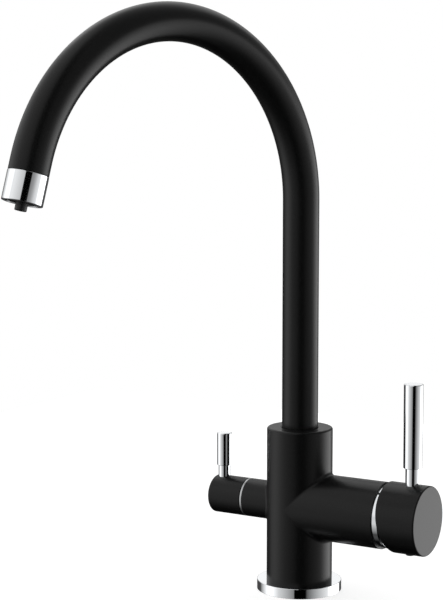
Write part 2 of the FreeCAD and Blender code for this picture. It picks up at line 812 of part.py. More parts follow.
def filter_spindle():
    """Spindle with a drive tang, a flange, a ring groove, a circlip groove and a splined end."""
    tang_half = math.sqrt((valve_disc_radius - fixed_clearance)**2 - (drive_tang_width / 2)**2)
    tang_start = filter_moving_end - drive_tang_depth + fixed_clearance
    tang = block(2 * tang_half, drive_tang_width, tang_start, spindle_flange_start)
    flange = rod(valve_disc_radius, spindle_flange_start, spindle_flange_end)
    shaft = rod(spindle_radius, spindle_flange_end, spline_start)
    spline = splined_bar(spline_radius, spline_radius - spline_depth, spline_start, spline_end)
    spindle = tang.fuse([flange, shaft, spline]).removeSplitter()
    groove_floor = spindle_radius - spindle_ring_section
    seal_groove = ring_groove(groove_floor, spindle_radius, spindle_ring_section, spindle_ring_place)
    clip_groove = ring(circlip_floor, spindle_radius, circlip_start, circlip_end)
    return spindle.cut([seal_groove, clip_groove])


def filter_spindle_o_ring():
    """Rubber ring that seals the spindle."""
    return o_ring(spindle_radius + fixed_clearance, spindle_ring_section, spindle_ring_place)


def filter_circlip():
    """Open spring ring that keeps the spindle in the valve body."""
    inner = circlip_floor + fixed_clearance
    clip = ring(inner, inner + circlip_width, circlip_start, circlip_end)
    opening = block(circlip_opening, inner + circlip_width, circlip_start, circlip_end)
    opening.translate(Vector(0, (inner + circlip_width) / 2, 0))
    return clip.cut(opening)


def filter_knob():
    """Hollow knob with a splined socket, a lever hole above and a grub screw hole below."""
    knob = rod(filter_arm_radius, knob_start, knob_end)
    knob = rounded(knob, knob_edge, filter_arm_radius, knob_end)
    knob = rounded(knob, knob_start_edge, filter_arm_radius, knob_start)
    socket_tip = spline_radius + fixed_clearance
    cuts = [
        rod(knob_cavity, knob_start, knob_cavity_end),
        splined_bar(socket_tip, socket_tip - spline_depth, knob_cavity_end, spline_end + moving_gap),
        upright(filter_stem_radius + fixed_clearance, filter_stem_seat, filter_arm_radius,
                filter_lever_place),
        upright(filter_tail_radius + fixed_clearance, filter_stem_seat - filter_tail_length - moving_gap,
                filter_stem_seat, filter_lever_place),
        downright(knob_grub_radius + fixed_clearance, 0, filter_arm_radius, knob_grub_place),
    ]
    return knob.cut(cuts)


def filter_lever():
    """Plated lever of the filter valve, screwed into the knob."""
    return lever({
        "place": filter_lever_place,
        "seat": filter_stem_seat,
        "tail_radius": filter_tail_radius,
        "tail_length": filter_tail_length,
        "stem_radius": filter_stem_radius,
        "grip_start": filter_grip_start,
        "grip_end": filter_grip_end,
        "grip_radius": filter_grip_diameter / 2,
        "top_radius": filter_grip_diameter / 2,
    })


def filter_grub_screw():
    """Grub screw that clamps the knob to the spindle."""
    screw = downright(knob_grub_radius, knob_grub_start, knob_grub_end, knob_grub_place)
    socket = hexagon(knob_grub_socket, knob_grub_end - grub_socket_depth, knob_grub_end)
    frame = Placement(Vector(0, 0, knob_grub_place), Rotation(UP, LEFT))
    return screw.cut(placed(socket, frame))


def spout_tube():
    """Bent tube of the spout."""
    outside = bent_rod(spout_radius, spout_bottom, spout_tail)
    return outside.cut(bent_rod(spout_bore, spout_bottom, spout_tail))


def spigot_ring_places():
    """Heights of the two sealing rings on the spigot."""
    first = spigot_bottom + spigot_ring_start
    return [first, first + spigot_ring_spacing]


def ring_groove(floor, outside, section, place):
    """Groove for a sealing ring."""
    half = section / 2 + fixed_clearance
    return ring(floor, outside, place - half, place + half)


def spout_spigot():
    """Turned foot of the spout: plug in the tube, sealed spigot, filtered water stub and nipple."""
    plug = rod(spout_bore - fixed_clearance, spout_bottom, spigot_top)
    spigot = rod(spigot_radius, spigot_bottom, spout_bottom)
    stub = rod(stub_radius, stub_end, spigot_bottom)
    nipple = rod(hose_nipple_radius, spigot_top, nipple_top)
    foot = plug.fuse([spigot, stub, nipple]).removeSplitter()
    cuts = [rod(stub_passage, stub_end, nipple_top)]
    for place in spigot_ring_places():
        cuts.append(ring_groove(spigot_groove_floor, spigot_radius, spigot_ring_section, place))
    stub_floor = stub_radius - stub_ring_section
    cuts.append(ring_groove(stub_floor, stub_radius, stub_ring_section, stub_ring_place))
    cuts.append(ring(retaining_groove_floor, spigot_radius,
                     retaining_groove_place - retaining_groove_width / 2,
                     retaining_groove_place + retaining_groove_width / 2))
    for i in range(mixed_hole_count):
        hole = rod(mixed_hole_radius, spigot_bottom, spigot_top, mixed_hole_circle)
        hole.rotate(Vector(), UP, 360 * i / mixed_hole_count)
        cuts.append(hole)
    return foot.cut(cuts)


def spout_o_rings():
    """Two rubber rings that seal the spigot in the body."""
    outer = spigot_radius + running_clearance / 2
    section = spigot_ring_section - thread_clearance
    return Part.makeCompound([o_ring(outer, section, place) for place in spigot_ring_places()])


def stub_o_ring():
    """Small rubber ring that keeps filtered water apart from mixed water."""
    return o_ring(stub_radius + running_clearance / 2, stub_ring_section, stub_ring_place)


def filter_hose():
    """Soft hose that carries filtered water through the spout, along its centre line."""
    start = spigot_top + fixed_clearance
    length = spout_tail + hose_end
    return bent_rod(hose_radius, start, length).cut(bent_rod(hose_bore, start, length))


def outlet_adapter():
    """Threaded ring in the end of the tube that the outlet screws onto."""
    plug = rod(spout_bore - fixed_clearance, -adapter_plug_length, 0)
    thread = rod(adapter_thread_radius, 0, adapter_thread_length)
    adapter = plug.fuse(thread).removeSplitter()
    return adapter.cut(rod(adapter_bore, -adapter_plug_length, adapter_thread_length))


def aerator_housing():
    """Plated sleeve at the spout's end, with a lip that holds the aerator."""
    sleeve = rounded(rod(tip_radius, 0, tip_length), tip_edge, tip_radius, tip_length)
    bore = rod(tip_bore, 0, aerator_bottom)
    mouth = rod(tip_bore - tip_lip, aerator_bottom, tip_length)
    return sleeve.cut([bore, mouth])


def aerator_insert():
    """Aerator with two circles of jets round the nozzle."""
    insert = rod(tip_bore - fixed_clearance, aerator_top, aerator_bottom)
    face = rod(tip_bore - tip_lip - fixed_clearance, aerator_bottom, tip_length - aerator_recess)
    insert = insert.fuse(face).removeSplitter()
    bottom = tip_length - aerator_recess
    cuts = [rod(nozzle_radius + fixed_clearance, aerator_top, bottom)]
    for count, circle in ((inner_jet_count, inner_jet_circle), (outer_jet_count, outer_jet_circle)):
        for i in range(count):
            turn = 2 * math.pi * i / count
            x = circle * math.cos(turn)
            y = circle * math.sin(turn)
            cuts.append(rod(jet_radius, aerator_top, bottom, x, y))
    return insert.cut(cuts)


def aerator_seal():
    """Rubber washer between the adapter and the aerator."""
    return ring(adapter_bore, tip_bore - fixed_clearance, adapter_thread_length, aerator_top)


def filter_nozzle():
    """Plain nozzle for filtered water in the middle of the outlet."""
    end = tip_length + nozzle_proud
    spout_end = rounded(rod(nozzle_radius, aerator_top, end), nozzle_edge, nozzle_radius, end)
    flange = rod(nozzle_radius + nozzle_flange_width, nozzle_flange_start, aerator_top)
    barb = rod(hose_nipple_radius, nozzle_flange_start - hose_nipple_length, nozzle_flange_start)
    nozzle = spout_end.fuse([flange, barb]).removeSplitter()
    barb_hole = rod(stub_passage, nozzle_flange_start - hose_nipple_length, nozzle_flange_start)
    return nozzle.cut([barb_hole, rod(nozzle_bore_radius, nozzle_flange_start, end)])


UPRIGHT_PIECES = (body, base_ring, base_gasket, spout_retaining_screw, spout_glide_ring)
MIXER_PIECES = (
    cartridge_base, cartridge_port_seals, cartridge_fixed_disc, cartridge_housing, cartridge_nut,
    cartridge_cover_ring, cartridge_rotor, cartridge_pivot_pin, cartridge_stem, disc_carrier,
    cartridge_moving_disc, mixer_handle_cap, mixer_lever, mixer_grub_screw, mixer_screw_plug,
)
FILTER_PIECES = (
    filter_trim_ring, filter_valve_body, filter_seat_seal, filter_fixed_disc, filter_moving_disc,
    filter_spindle, filter_spindle_o_ring, filter_circlip, filter_knob, filter_lever,
    filter_grub_screw,
)
SPOUT_PIECES = (spout_tube, spout_spigot, spout_o_rings, stub_o_ring, filter_hose)
TIP_PIECES = (outlet_adapter, aerator_housing, aerator_insert, aerator_seal, filter_nozzle)
GROUPS = (
    (UPRIGHT_PIECES, Placement()),
    (MIXER_PIECES, MIXER_ARM),
    (FILTER_PIECES, FILTER_ARM),
    (SPOUT_PIECES, SPOUT),
    (TIP_PIECES, TIP),
)


def main():
    """Build every piece and write it to its own file."""
    os.makedirs("parts", exist_ok=True)
    for pieces, frame in GROUPS:
        for piece in pieces:
            shape = placed(piece(), frame)
            shape.exportStep("parts/" + piece.__name__ + ".step")
            print(piece.__name__, shape.isValid(), len(shape.Solids), round(shape.Volume, 1))


if __name__ == "__main__":
    main()
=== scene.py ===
import math

import bpy
import numpy as np
from bpy.props import FloatProperty, FloatVectorProperty, IntProperty, PointerProperty
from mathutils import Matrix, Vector


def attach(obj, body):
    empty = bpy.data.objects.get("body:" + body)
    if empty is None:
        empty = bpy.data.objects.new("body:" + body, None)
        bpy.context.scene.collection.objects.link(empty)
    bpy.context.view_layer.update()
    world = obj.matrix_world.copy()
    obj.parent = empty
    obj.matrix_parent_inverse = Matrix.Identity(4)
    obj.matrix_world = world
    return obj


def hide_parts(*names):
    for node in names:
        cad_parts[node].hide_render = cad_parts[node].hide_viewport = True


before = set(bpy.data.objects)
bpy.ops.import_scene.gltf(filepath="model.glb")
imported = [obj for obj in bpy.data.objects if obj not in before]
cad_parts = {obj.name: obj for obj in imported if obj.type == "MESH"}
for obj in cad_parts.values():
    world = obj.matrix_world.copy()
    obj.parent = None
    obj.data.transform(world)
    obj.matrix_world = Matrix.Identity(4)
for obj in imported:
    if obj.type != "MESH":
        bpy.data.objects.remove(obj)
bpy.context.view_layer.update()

bl_info = {
    "name": "Kitchen Mixer Tap",
    "version": (1, 0, 0),
    "blender": (4, 5, 0),
    "location": "3D View > Sidebar > Mixer Tap",
    "description": "Dresses the packed kitchen mixer tap and sets its studio",
    "category": "Object",
}

MM = 0.001
UP = np.array((0.0, 0.0, 1.0))
RIGHT = np.array((1.0, 0.0, 0.0))


# Properties

def length(name, description, millimetres):
    """A size in metres, written here in millimetres."""
    return FloatProperty(name=name, description=description, default=millimetres * MM,
                         min=0.0, unit="LENGTH", subtype="DISTANCE", precision=5)


def angle(name, description, degrees):
    """An angle in radians, written here in degrees."""
    return FloatProperty(name=name, description=description, default=math.radians(degrees),
                         subtype="ANGLE", unit="ROTATION")


def share(name, description, value):
    """A plain number between nothing and all."""
    return FloatProperty(name=name, description=description, default=value, min=0.0, max=1.0,
                         subtype="FACTOR")


def level(name, description, value):
    """A strength of light, where 1 is white."""
    return FloatProperty(name=name, description=description, default=value, min=0.0)


def optic(name, description, millimetres):
    """A size inside the camera, kept in millimetres."""
    return FloatProperty(name=name, description=description, default=millimetres, min=1.0, unit="CAMERA")


def steps(name, description, count, least):
    """A number of steps in a surface."""
    return IntProperty(name=name, description=description, default=count, min=least)


def linear(hex_colour):
    """Linear red, green, blue and alpha of an sRGB colour written as six hex digits.

    A channel c between 0 and 1 becomes c / 12.92 up to 0.04045, and ((c + 0.055) / 1.055) to the power of
    2.4 above that.
    """
    channels = np.array([int(hex_colour[i:i + 2], 16) for i in (0, 2, 4)]) / 255
    low = channels / 12.92
    high = ((channels + 0.055) / 1.055) ** 2.4
    return (*np.where(channels <= 0.04045, low, high).tolist(), 1.0)


def colour(name, description, hex_colour):
    """A colour, written here as sRGB hex."""
    return FloatVectorProperty(name=name, description=description, size=4, subtype="COLOR",
                               default=linear(hex_colour), min=0.0, max=1.0)


class TapSpoutSizes(bpy.types.PropertyGroup):
    """Sizes of the swan-neck tube and the sleeve at its end."""
    diameter: length("Diameter", "Outside of the tube", 24.6)
    wall: length("Wall", "Wall of the tube", 1.4)
    foot: length("Foot", "Height of the tube's lower end, inside the body", 103.8)
    bend_start: length("Bend Start", "Height at which the tube starts to bend", 267.5)
    bend_radius: length("Bend Radius", "Radius of the bend at the tube's middle", 115.5)
    bend_angle: angle("Bend Angle", "How far the tube bends round", 164.0)
    tail: length("Tail", "Straight end of the tube", 7.6)
    rest_angle: angle("Rest Angle", "Plan angle of the spout at rest", -105.02)
    rim: length("Rim", "Small rounding at the ends of the tube and the sleeve", 0.3)
    sleeve_diameter: length("Sleeve Diameter", "Outside of the plated sleeve", 24.8)
    sleeve_length: length("Sleeve Length", "Length of the plated sleeve", 17.85)
    sleeve_bore: length("Sleeve Bore", "Bore of the sleeve", 22.5)
    sleeve_mouth: length("Sleeve Mouth", "Hole in the sleeve's lip", 20.3)
    sleeve_lip: length("Sleeve Lip", "Height of the sleeve's lip", 1.5)
    sleeve_edge: length("Sleeve Edge", "Rounding of the sleeve's lower edge", 0.5)


class TapMixerLever(bpy.types.PropertyGroup):
    """Sizes of the mixer's lever, with heights above the arms' axis."""
    place: length("Mixer Place", "Distance of the mixer lever from the column's axis", 85.0)
    tail: length("Mixer Tail", "Diameter of the mixer lever's tail", 6.0)
    tail_end: length("Mixer Tail End", "Height of the mixer tail's lower end", 12.6)
    seat: length("Mixer Seat", "Height of the mixer stem's lower end", 22.6)
    stem: length("Mixer Stem", "Diameter of the mixer lever's stem", 9.6)
    grip_start: length("Mixer Grip Start", "Height of the mixer grip's lower end", 34.6)
    grip_end: length("Mixer Grip End", "Height of the mixer grip's upper end", 90.6)
    grip: length("Mixer Grip", "Diameter of the mixer grip's lower end", 12.5)
    grip_top: length("Mixer Grip Top", "Diameter of the mixer grip's upper end", 12.9)


class TapFilterLever(bpy.types.PropertyGroup):
    """Sizes of the filter valve's lever, with heights above the arms' axis."""
    place: length("Filter Place", "Distance of the filter lever from the column's axis", 60.4)
    tail: length("Filter Tail", "Diameter of the filter lever's tail", 5.0)
    tail_end: length("Filter Tail End", "Height of the filter tail's lower end", 5.27)
    seat: length("Filter Seat", "Height of the filter stem's lower end", 12.27)
    stem: length("Filter Stem", "Diameter of the filter lever's stem", 8.4)
    grip_start: length("Filter Grip Start", "Height of the filter grip's lower end", 20.85)
    grip_end: length("Filter Grip End", "Height of the filter grip's upper end", 43.85)
    grip: length("Filter Grip", "Diameter of the filter grip's lower end", 10.5)
    grip_top: length("Filter Grip Top", "Diameter of the filter grip's upper end", 10.5)


class TapRingSizes(bpy.types.PropertyGroup):
    """Sizes of the two plated rings and the steel one."""
    arm_height: length("Arm Height", "Height of the arms' axis above the deck", 59.0)
    base_diameter: length("Base Diameter", "Outside of the base ring", 58.0)
    base_height: length("Base Height", "Height of the base ring", 6.8)
    base_hole: length("Base Hole", "Hole in the base ring", 34.04)
    groove_inner: length("Groove Inner", "Inner diameter of the gasket's groove", 41.97)
    groove_outer: length("Groove Outer", "Outer diameter of the gasket's groove", 49.97)
    groove_depth: length("Groove Depth", "Depth of the gasket's groove", 1.8)
    cover_start: length("Cover Start", "Distance of the cover ring's skirt from the column's axis", 63.3)
    cover_seat: length("Cover Seat", "Distance of the cover ring's seat on the arm", 65.3)
    cover_dome: length("Cover Dome", "Distance at which the cover ring starts to round in", 69.3)
    cover_end: length("Cover End", "Distance of the cover ring's outer end", 70.4)
    cover_pivot: length("Cover Pivot", "Distance of the middle of the cover ring's ball", 58.5)
    cover_diameter: length("Cover Diameter", "Outside of the cover ring", 42.6)
    cover_skirt: length("Cover Skirt", "Diameter of the cover ring's skirt", 38.1)
    cover_bore: length("Cover Bore", "Bore of the cover ring", 34.5)
    trim_start: length("Trim Start", "Distance of the trim ring from the column's axis", 39.0)
    trim_end: length("Trim End", "Distance of the trim ring's outer face", 40.4)
    trim_diameter: length("Trim Diameter", "Outside of the trim ring", 26.5)
    trim_bore: length("Trim Bore", "Bore of the trim ring", 19.2)


class TapEdgeSizes(bpy.types.PropertyGroup):
    """Roundings of the edges on the levers and the rings."""
    grip_edge: length("Grip Edge", "Rounding of the grips' upper edges", 0.7)
    step_edge: length("Step Edge", "Rounding of the levers' other edges", 0.3)
    base_edge: length("Base Edge", "Rounding of the base ring's upper edge", 0.3)
    fine_edge: length("Fine Edge", "Small rounding of the rings' other edges that show", 0.2)
    crease: length("Crease", "Tiny rounding of hidden corners, which keeps the faces by them flat", 0.05)


class TapFinishes(bpy.types.PropertyGroup):
    """Colours of the finishes, and the size of the coating's grain."""
    coating: colour("Coating", "Satin black coating", "080808")
    coating_fleck: colour("Coating Fleck", "Paler grains in the black coating", "121313")
    coating_grain: length("Coating Grain", "Size of the coating's grains", 0.7)
    chrome: colour("Chrome", "Polished chrome plate", "E8EAEC")
    brass: colour("Brass", "Turned brass", "C8A45C")
    brass_stain: colour("Brass Stain", "Darker grains in the brass", "B8924A")
    steel: colour("Steel", "Stainless steel", "BABBBC")
    steel_stain: colour("Steel Stain", "Darker grains in the steel", "A8A9AA")
    acetal: colour("Acetal", "White moulded acetal", "ECEAE4")
    acetal_shade: colour("Acetal Shade", "Warmer grains in the white acetal", "E4E0D6")
    ceramic: colour("Ceramic", "Ground alumina", "F0EEE8")
    rubber: colour("Rubber", "Black moulded rubber", "161616")
    rubber_bloom: colour("Rubber Bloom", "Paler bloom on the rubber", "222222")
    hose: colour("Hose", "Extruded polyethylene hose", "DCE2E4")
    hose_shade: colour("Hose Shade", "Denser streaks in the hose", "CDD6D9")
    black_plastic: colour("Black Plastic", "Black moulded acetal", "101112")


class TapCamera(bpy.types.PropertyGroup):
    """The camera, as it stood for the photograph."""
    azimuth: angle("Camera Azimuth", "Plan angle of the camera, round from the front", 28.898)
    distance: length("Camera Distance", "Plan distance of the camera from the column", 1165.58)
    height: length("Camera Height", "Height of the camera above the deck", 333.81)
    heading: angle("Camera Heading", "Plan angle that the camera looks along", 31.535)
    dip: angle("Camera Dip", "How far the camera looks down", 6.558)
    lens: optic("Camera Lens", "Focal length of the camera", 103.73)
    film: optic("Camera Film", "Width of the camera's frame", 36.0)


class TapFloor(bpy.types.PropertyGroup):
    """The pale floor under the tap."""
    side: length("Floor Side", "Side of the square floor", 1200.0)
    paper: colour("Floor Paper", "Pale paper of the floor", "B8B8B8")
    glow: share("Floor Glow", "Share of white that shows on the floor whatever the light", 0.66)


class TapStudio(bpy.types.PropertyGroup):
    """The studio round the tap: an even light for dull surfaces and the panels that gloss reflects."""
    fill: level("Fill", "Brightness of the even light that falls on dull surfaces", 0.9)
    card_left: angle("Card Left", "Left edge of the black card, round from the camera", -13.0)
    card_right: angle("Card Right", "Right edge of the black card, round from the camera", 18.0)
    card_soft: angle("Card Soft", "How soft the black card's right edge is", 4.0)
    card_side: level("Card Side", "Brightness on the left of the black card", 0.25)
    card_fade: level("Card Fade", "Brightness on the right of the black card", 0.12)
    upper_card_left: angle("Upper Card Left", "Left edge of the card above the horizon", -2.0)
    upper_card_right: angle("Upper Card Right", "Right edge of the card above the horizon", 34.0)
    upper_soft: angle("Upper Soft", "How soft the right edge of the card's upper part is", 1.5)
    upper_side: level("Upper Side", "Brightness on the left of the card's upper part", 0.62)
    upper_fade: level("Upper Fade", "Brightness on the right of the card's upper part", 0.27)
    left_level: level("Left Level", "Brightness of the white panel on the left", 1.4)
    left_inner: level("Left Inner", "Brightness between the left panel and the card", 0.78)
    front_level: level("Front Level", "Brightness of the right-hand side", 0.95)
    rim_level: level("Rim Level", "Brightness of the low panel behind on the right", 2.6)
    far_level: level("Far Level", "Brightness of the far end, below the horizon", 0.07)
    upper_left: level("Upper Left", "Brightness above the horizon on the left", 0.98)
    upper_right: level("Upper Right", "Brightness above the horizon on the right", 0.2)
    upper_far: level("Upper Far", "Brightness of the backdrop above the far end", 0.36)
    dip_level: share("Dip Level", "Share of light from straight below", 0.05)
    lamp_aim: length("Lamp Aim", "Height above the deck that the softboxes point at", 200.0)


class TapLeftLamp(bpy.types.PropertyGroup):
    """The softbox on the left."""
    brightness: level("Left Lamp Level", "Brightness of the left softbox", 0.3)
    turn: angle("Left Lamp Turn", "Where the left softbox stands, round from the camera", -85.0)
    distance: length("Left Lamp Distance", "Plan distance of the left softbox", 1200.0)
    height: length("Left Lamp Height", "Height of the left softbox's middle", 450.0)
    face_width: length("Left Lamp Width", "Width of the left softbox's face", 800.0)
    face_length: length("Left Lamp Length", "Length of the left softbox's face", 1100.0)


class TapBackLamp(bpy.types.PropertyGroup):
    """The softbox above and behind."""
    brightness: level("Back Lamp Level", "Brightness of the back softbox", 0.7)
    turn: angle("Back Lamp Turn", "Where the back softbox stands, round from the camera", 180.0)
    distance: length("Back Lamp Distance", "Plan distance of the back softbox", 900.0)
    height: length("Back Lamp Height", "Height of the back softbox's middle", 1100.0)
    face_width: length("Back Lamp Width", "Width of the back softbox's face", 1600.0)
    face_length: length("Back Lamp Length", "Length of the back softbox's face", 800.0)


class TapFarStrip(bpy.types.PropertyGroup):
    """The strip at the far end, which flat plated tops mirror."""
    brightness: level("Far Strip Level", "Brightness of the far strip", 0.72)
    turn: angle("Far Strip Turn", "Where the far strip stands, round from the camera", 180.0)
    distance: length("Far Strip Distance", "Plan distance of the far strip", 1165.0)
    height: length("Far Strip Height", "Height of the far strip's middle", 334.0)
    face_width: length("Far Strip Width", "Width of the far strip's face", 560.0)
    face_length: length("Far Strip Length", "Length of the far strip's face", 130.0)


class TapQuality(bpy.types.PropertyGroup):
    """How fine the surfaces are."""
    around: steps("Around", "Steps round a turned piece", 192, 12)
    along_bend: steps("Along Bend", "Steps along the bend of the spout", 160, 8)
    arc: steps("Arc", "Steps in a rounded edge", 7, 2)


# Surfaces

# Share of its rounding by which an arc's neighbours stand off from the arc's ends.
STAND_OFF = 0.1

# An axis whose upward part is more than this counts as upright.
UPRIGHT = 0.9

# Rows of points close together at each end of the spout.
END_ROWS = 3


def unit(vector):
    """The vector divided by its own length."""
    return vector / np.linalg.norm(vector)


def rounded_outline(corners, arc_steps, closed):
    """Points of an outline whose corners (radius, distance, rounding) are rounded off.

    At a corner, one direction runs back along the outline and one runs on. The arc's middle lies on the line
    halfway between them, at rounding / sin(half angle), and the arc meets the sides at rounding / tan(half
    angle) from the corner. A point just before and one just after each arc keep the long sides straight.
    """
    places = [np.array(corner[:2]) for corner in corners]
    points = []
    for i, (place, corner) in enumerate(zip(places, corners)):
        rounding = corner[2]
        at_end = not closed and i in (0, len(corners) - 1)
        if rounding == 0 or at_end:
            points.append(place[None])
            continue
        back = unit(places[i - 1] - place)
        on = unit(places[(i + 1) % len(places)] - place)
        half = math.acos(np.clip(back @ on, -1, 1)) / 2
        reach = rounding / math.tan(half)
        middle = place + unit(back + on) * rounding / math.sin(half)
        start = unit(place + back * reach - middle)
        end = unit(place + on * reach - middle)
        turn = math.acos(np.clip(start @ end, -1, 1))
        t = np.linspace(0, 1, arc_steps + 1)[:, None]
        arc = (np.sin((1 - t) * turn) * start + np.sin(t * turn) * end) / math.sin(turn)
        lead = place + back * (reach + rounding * STAND_OFF)
        follow = place + on * (reach + rounding * STAND_OFF)
        points.append(np.vstack((lead, middle + arc * rounding, follow)))
    return np.vstack(points)


def turned_points(outline, base, axis, around):
    """Grid of a turned surface.

    Each outline point (radius, distance) sits at base + axis * distance + radius * (side * cos t + front *
    sin t), for t from zero to a full turn.
    """
    helper = RIGHT if abs(axis @ UP) > UPRIGHT else UP
    side = unit(np.cross(helper, axis))
    front = np.cross(axis, side)
    t = np.linspace(0, 2 * math.pi, around, endpoint=False)
    spokes = np.cos(t)[:, None] * side + np.sin(t)[:, None] * front
    along = np.asarray(base) + outline[:, 1, None] * axis
    return along[:, None, :] + outline[:, 0, None, None] * spokes[None]


def grid_quads(rows, columns, wrap_rows):
    """Corner numbers of the faces between neighbouring grid points; columns always wrap round."""
    last = rows if wrap_rows else rows - 1
    i, j = np.meshgrid(np.arange(last), np.arange(columns), indexing="ij")
    below = (i + 1) % rows
    beside = (j + 1) % columns
    corners = (i * columns + j, i * columns + beside, below * columns + beside, below * columns + j)
    return np.stack(corners, axis=-1).reshape(-1, 4)


def cap_triangles(row, columns, pole):
    """Triangles from one row of a grid to a pole point."""
    j = np.arange(columns)
    edge = row * columns + j
    following = row * columns + (j + 1) % columns
    return np.stack((following, edge, np.full(columns, pole)), axis=-1)


def signed_volume(points, quads, triangles):
    """Volume inside the faces, negative where they point inwards: a sixth of the sum of a . (b x c)."""
    faces = np.vstack((quads[:, [0, 1, 2]], quads[:, [0, 2, 3]], triangles))
    a, b, c = (points[faces[:, k]] for k in range(3))
    return np.einsum("ij,ij->", a, np.cross(b, c)) / 6


def add_piece(name, grid, poles, body, slot, node):
    """Put a grid into a mesh, point its faces outwards and tie it to the frame.

    With two poles, triangles close the grid's first and last rows. With none, its last row meets its first.
    """
    rows, columns = grid.shape[:2]
    points = grid.reshape(-1, 3)
    quads = grid_quads(rows, columns, poles is None)
    triangles = np.zeros((0, 3), int)
    if poles is not None:
        first = rows * columns
        points = np.vstack((points, poles))
        last_cap = cap_triangles(rows - 1, columns, first + 1)[:, [1, 0, 2]]
        triangles = np.vstack((cap_triangles(0, columns, first), last_cap))
    if signed_volume(points, quads, triangles) < 0:
        quads = quads[:, ::-1]
        triangles = triangles[:, ::-1]
    mesh = bpy.data.meshes.new(name)
    mesh.from_pydata(points, [], quads.tolist() + triangles.tolist())
    mesh.shade_smooth()
    if mesh.validate():
        raise RuntimeError(name + " has broken faces")
    piece = bpy.data.objects.new(name, mesh)
    bpy.context.scene.collection.objects.link(piece)
    mesh.materials.append(finish(slot))
    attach(piece, body)
    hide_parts(node)


def turned_ring(name, corners, base, axis, body, slot, node):
    """A turned piece with a hole: its outline is a closed loop beside the axis."""
    quality = bpy.context.scene.tap_quality
    outline = rounded_outline(corners, quality.arc, True)
    grid = turned_points(outline, base, axis, quality.around)
    add_piece(name, grid, None, body, slot, node)


def turned_bar(name, corners, base, axis, body, slot, node):
    """A turned piece with no hole: its outline starts and ends on the axis, at the two poles."""
    quality = bpy.context.scene.tap_quality
    outline = rounded_outline(corners, quality.arc, False)
    grid = turned_points(outline, base, axis, quality.around)
    add_piece(name, grid[1:-1], grid[[0, -1], 0], body, slot, node)


def spout_path(sizes, bend_steps):
    """Points, sideways and outward directions along the middle of the spout.

    In the spout's own upright plane, with u out from the column and z up: a straight rise at u = 0, then an
    arc about u = bend radius, then a straight tail along the arc's last direction. A few points close
    together at each end make the rim and keep the long sides straight.
    """
    outward = np.array((math.cos(sizes.rest_angle), math.sin(sizes.rest_angle), 0.0))
    turn = np.linspace(0, sizes.bend_angle, bend_steps)
    reach = sizes.bend_radius * (1 - np.cos(turn))
    height = sizes.bend_start + sizes.bend_radius * np.sin(turn)
    bend = reach[:, None] * outward + height[:, None] * UP
    last = math.sin(sizes.bend_angle) * outward + math.cos(sizes.bend_angle) * UP
    rim = sizes.rim * np.arange(END_ROWS)
    rise = np.outer(sizes.foot + rim, UP)
    tail = bend[-1] + np.outer(sizes.tail - rim[::-1], last)
    points = np.vstack((rise, bend, tail))
    turn = np.concatenate((np.zeros(END_ROWS), turn, np.full(END_ROWS, sizes.bend_angle)))
    tangents = np.sin(turn)[:, None] * outward + np.cos(turn)[:, None] * UP
    across = np.cross(UP, outward)
    return points, np.broadcast_to(across, points.shape), np.cross(tangents, across)


def tube_rows(points, across, normals, radii, around):
    """Grid of circles round a path: point + radius * (across * cos t + normal * sin t)."""
    t = np.linspace(0, 2 * math.pi, around, endpoint=False)
    circle = np.cos(t)[None, :, None] * across[:, None] + np.sin(t)[None, :, None] * normals[:, None]
    return points[:, None] + radii[:, None, None] * circle


# Finishes

# Noise levels between which a grain's first colour turns into its second, where neither stands out.
EVEN_FADE = (0.35, 0.7)


def add_node(tree, kind, settings=None, links=None):
    """Add a node, set its sockets (by name or number) or options, and link its inputs from other nodes."""
    node = tree.nodes.new(kind)
    for name, value in (settings or {}).items():
        if isinstance(name, int) or name in node.inputs:
            node.inputs[name].default_value = value
        else:
            setattr(node, name, value)
    for name, source in (links or {}).items():
        tree.links.new(source, node.inputs[name])
    return node


def grained(name, grain, roughness, settings, flecks=None, fade=EVEN_FADE, bump=0.0):
    """A material with a fine grain: a noise on object coordinates, grain metres to a cell.

    Roughness runs between its two values with the noise. Flecks are two colours, and fade the two noise
    levels between which the first turns into the second. The bump is that many metres high. Settings go
    straight to the shader.
    """
    material = bpy.data.materials.new(name)
    material.use_nodes = True
    tree = material.node_tree
    tree.nodes.clear()
    place = add_node(tree, "ShaderNodeTexCoord").outputs["Object"]
    noise = add_node(tree, "ShaderNodeTexNoise", {"Scale": 1 / grain, "Detail": 2.0}, {"Vector": place})
    height = noise.outputs["Fac"]
    gloss = add_node(tree, "ShaderNodeMapRange", {"To Min": roughness[0], "To Max": roughness[1]},
                     {"Value": height})
    links = {"Roughness": gloss.outputs["Result"]}
    if flecks:
        shade = add_node(tree, "ShaderNodeValToRGB", links={"Fac": height})
        for element, shown, position in zip(shade.color_ramp.elements, flecks, fade):
            element.position = position
            element.color = shown
        links["Base Color"] = shade.outputs["Color"]
    if bump:
        relief = add_node(tree, "ShaderNodeBump", {"Strength": 1.0, "Distance": bump}, {"Height": height})
        links["Normal"] = relief.outputs["Normal"]
    shader = add_node(tree, "ShaderNodeBsdfPrincipled", settings, links)
    add_node(tree, "ShaderNodeOutputMaterial", links={"Surface": shader.outputs["BSDF"]})
    return material


# The real grains of a coating, a mould, a lathe or a lap are about 0.02 to 0.2 mm wide. They are drawn
# coarser here, so that they show. The chrome's patches and the hose's streaks have their real size.

def satin_black_coating(finishes):
    """Sprayed and baked coating: soft broad highlights, broken up by a fine grain with faint paler flecks.

    Its matt texture scatters most of the gloss, so the specular level is low.
    """
    return grained("satin_black_baked_coating", grain=finishes.coating_grain, roughness=(0.27, 0.35),
                   settings={"IOR": 1.5, "Specular IOR Level": 0.24},
                   flecks=(finishes.coating, finishes.coating_fleck), fade=(0.5, 0.75), bump=0.01 * MM)


